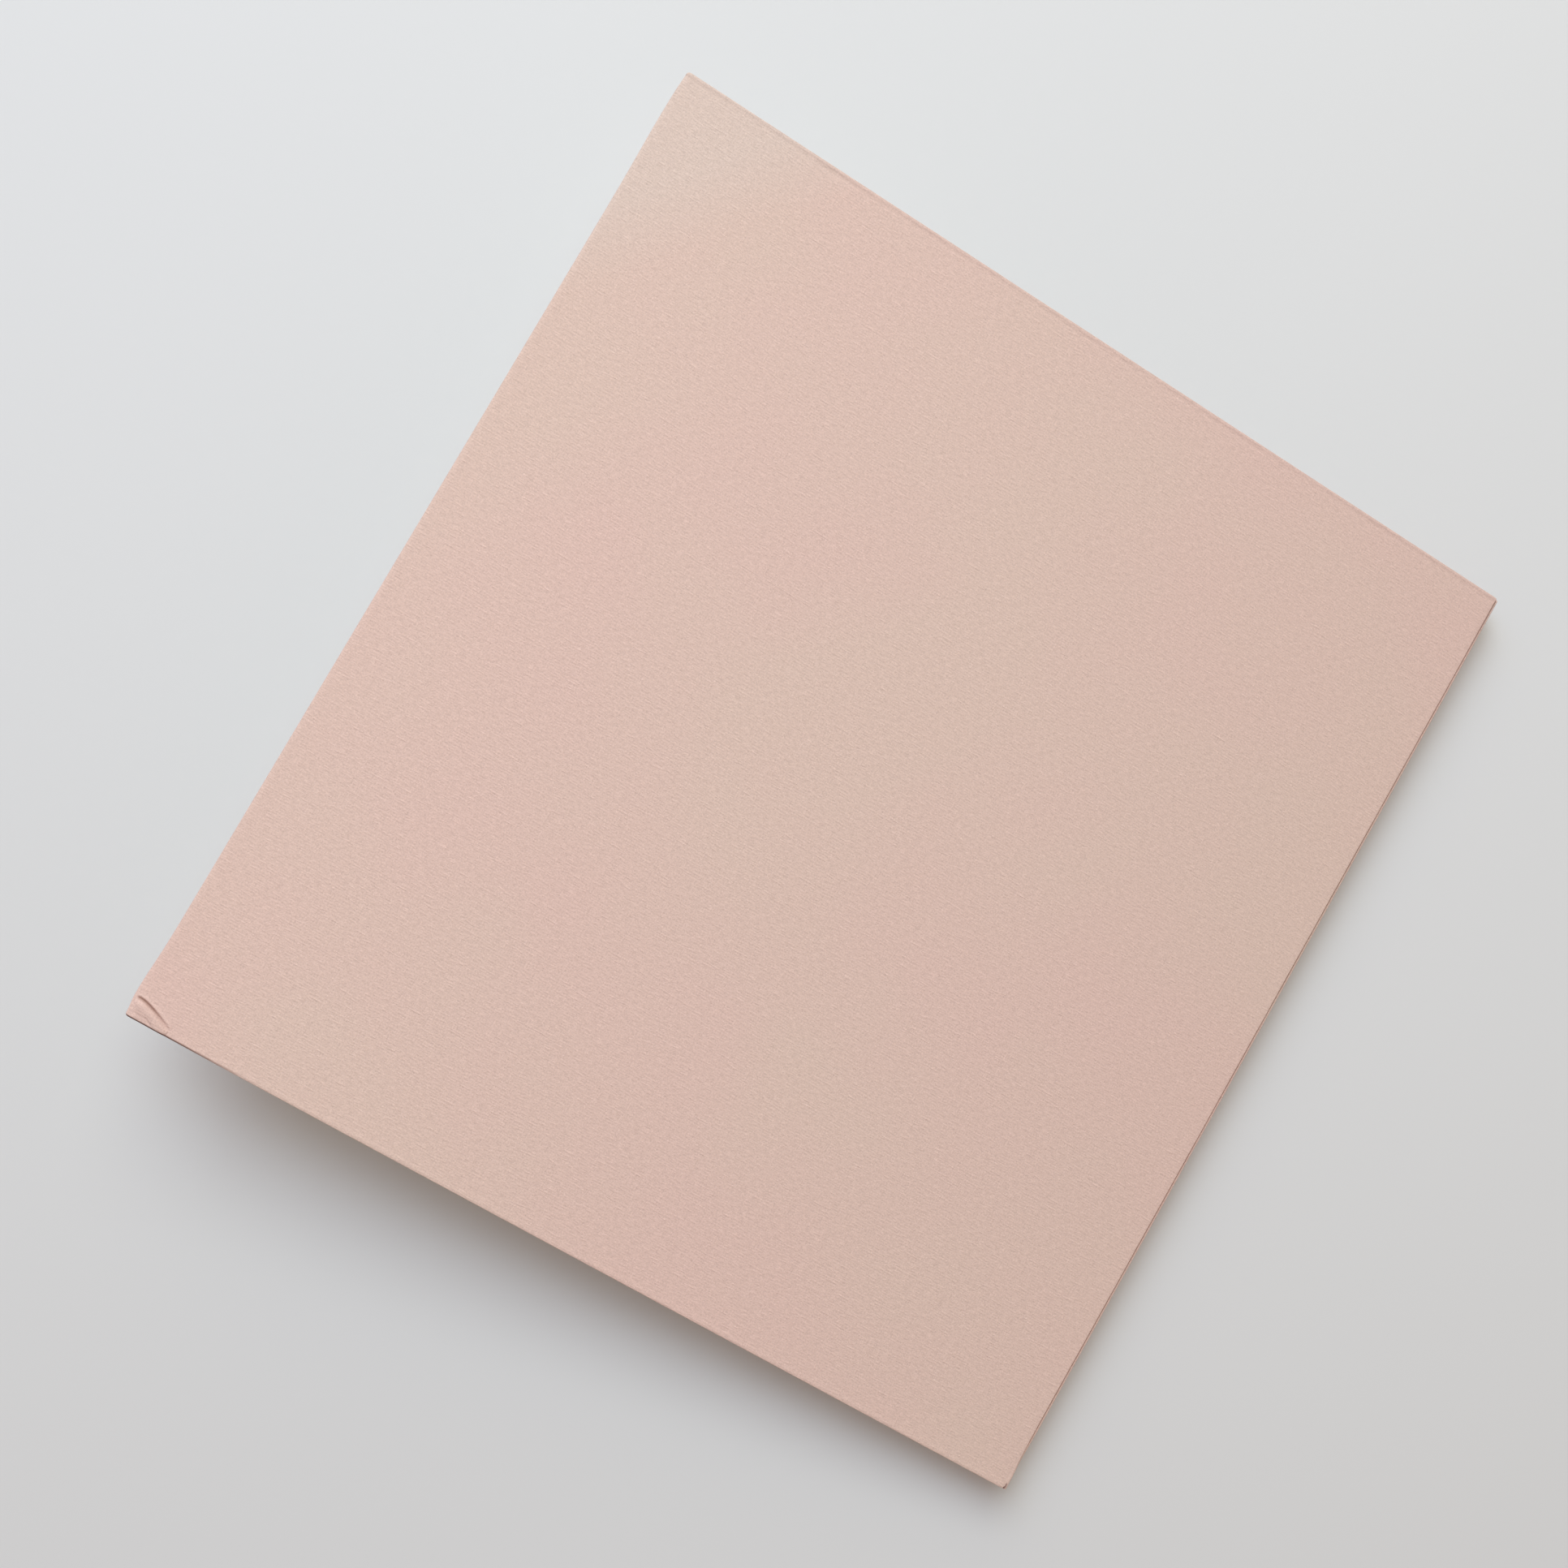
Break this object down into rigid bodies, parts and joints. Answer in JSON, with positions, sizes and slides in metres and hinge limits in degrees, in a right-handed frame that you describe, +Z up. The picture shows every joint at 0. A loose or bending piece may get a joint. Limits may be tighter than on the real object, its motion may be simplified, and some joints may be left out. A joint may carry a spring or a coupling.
{
  "type": "wedding guest book",
  "caption": "Slim case-bound guest book in plain blush book cloth, with flush cloth joints, sewn blank sections and plain endpapers, standing slightly ajar.",
  "frame": {"origin": "middle of the footprint of the book as it stands ajar, on the surface it lies on", "axes": "+Z up through the covers, +Y along the spine to the head, +X across the pages from the spine to the fore edge"},
  "size_m": [0.2346, 0.2478, 0.0405],
  "materials": {
    "book_cloth": "matt blush-pink book cloth, fine plain weave with small slubs across the book",
    "greyboard": "dense grey binder's board with flecks of fibre",
    "endpaper": "smooth heavy warm white endpaper",
    "page_paper": "uncoated cream-white writing paper",
    "sewing_thread": "waxed off-white linen thread",
    "spine_lining": "open-weave cotton lining cloth, glued down",
    "headband_weave": "fine woven bead, blush and cream stripes"
  },
  "bodies": {
    "back_cover": {"back_board": "greyboard", "back_cover_cloth": "book_cloth", "rear_pastedown": "endpaper", "rear_flyleaf": "endpaper", "section_4_sheet_1": "page_paper", "section_4_sheet_2": "page_paper", "section_4_sheet_3": "page_paper", "section_4_sheet_4": "page_paper", "section_4_thread": "sewing_thread", "section_3_sheet_1": "page_paper", "section_3_sheet_2": "page_paper", "section_3_sheet_3": "page_paper", "section_3_sheet_4": "page_paper", "section_3_thread": "sewing_thread", "rear_spine_lining": "spine_lining", "rear_headband": "headband_weave", "rear_tailband": "headband_weave"},
    "spine": {"spine_card": "greyboard", "spine_cloth": "book_cloth"},
    "front_cover": {"front_board": "greyboard", "front_cover_cloth": "book_cloth", "front_pastedown": "endpaper"},
    "front_flyleaf": {"front_flyleaf": "endpaper"},
    "section_1": {"section_1_sheet_1": "page_paper", "section_1_sheet_2": "page_paper", "section_1_sheet_3": "page_paper", "section_1_sheet_4": "page_paper", "section_1_thread": "sewing_thread"},
    "section_2": {"section_2_sheet_1": "page_paper", "section_2_sheet_2": "page_paper", "section_2_sheet_3": "page_paper", "section_2_sheet_4": "page_paper", "section_2_thread": "sewing_thread", "front_spine_lining": "spine_lining", "front_headband": "headband_weave", "front_tailband": "headband_weave"}
  },
  "joints": [
    {"name": "front_cover_hinge", "type": "hinge", "parent": "spine", "child": "front_cover", "pos_m": [-0.1166, 0, 0.01077], "axis": [0, -1, 0], "range_deg": [-3.5, 86.5]},
    {"name": "spine_hinge", "type": "hinge", "parent": "back_cover", "child": "spine", "pos_m": [-0.11603, 0, 0.00135], "axis": [0, -1, 0], "range_deg": [-3.5, 86.5]},
    {"name": "front_flyleaf_turn", "type": "hinge", "parent": "back_cover", "child": "front_flyleaf", "pos_m": [-0.11528, 0, 0.00607], "axis": [0, -1, 0], "range_deg": [-6.96, 172.13]},
    {"name": "section_1_turn", "type": "hinge", "parent": "back_cover", "child": "section_1", "pos_m": [-0.11528, 0, 0.00607], "axis": [0, -1, 0], "range_deg": [-6.93, 171.27]},
    {"name": "section_2_turn", "type": "hinge", "parent": "back_cover", "child": "section_2", "pos_m": [-0.11528, 0, 0.00607], "axis": [0, -1, 0], "range_deg": [-6.89, 170.41]}
  ],
  "couplings": [
    {"joint": "spine_hinge", "follows": "front_cover_hinge", "ratio": 1},
    {"joint": "front_flyleaf_turn", "follows": "front_cover_hinge", "ratio": 1.99},
    {"joint": "section_1_turn", "follows": "front_cover_hinge", "ratio": 1.98},
    {"joint": "section_2_turn", "follows": "front_cover_hinge", "ratio": 1.97}
  ]
}
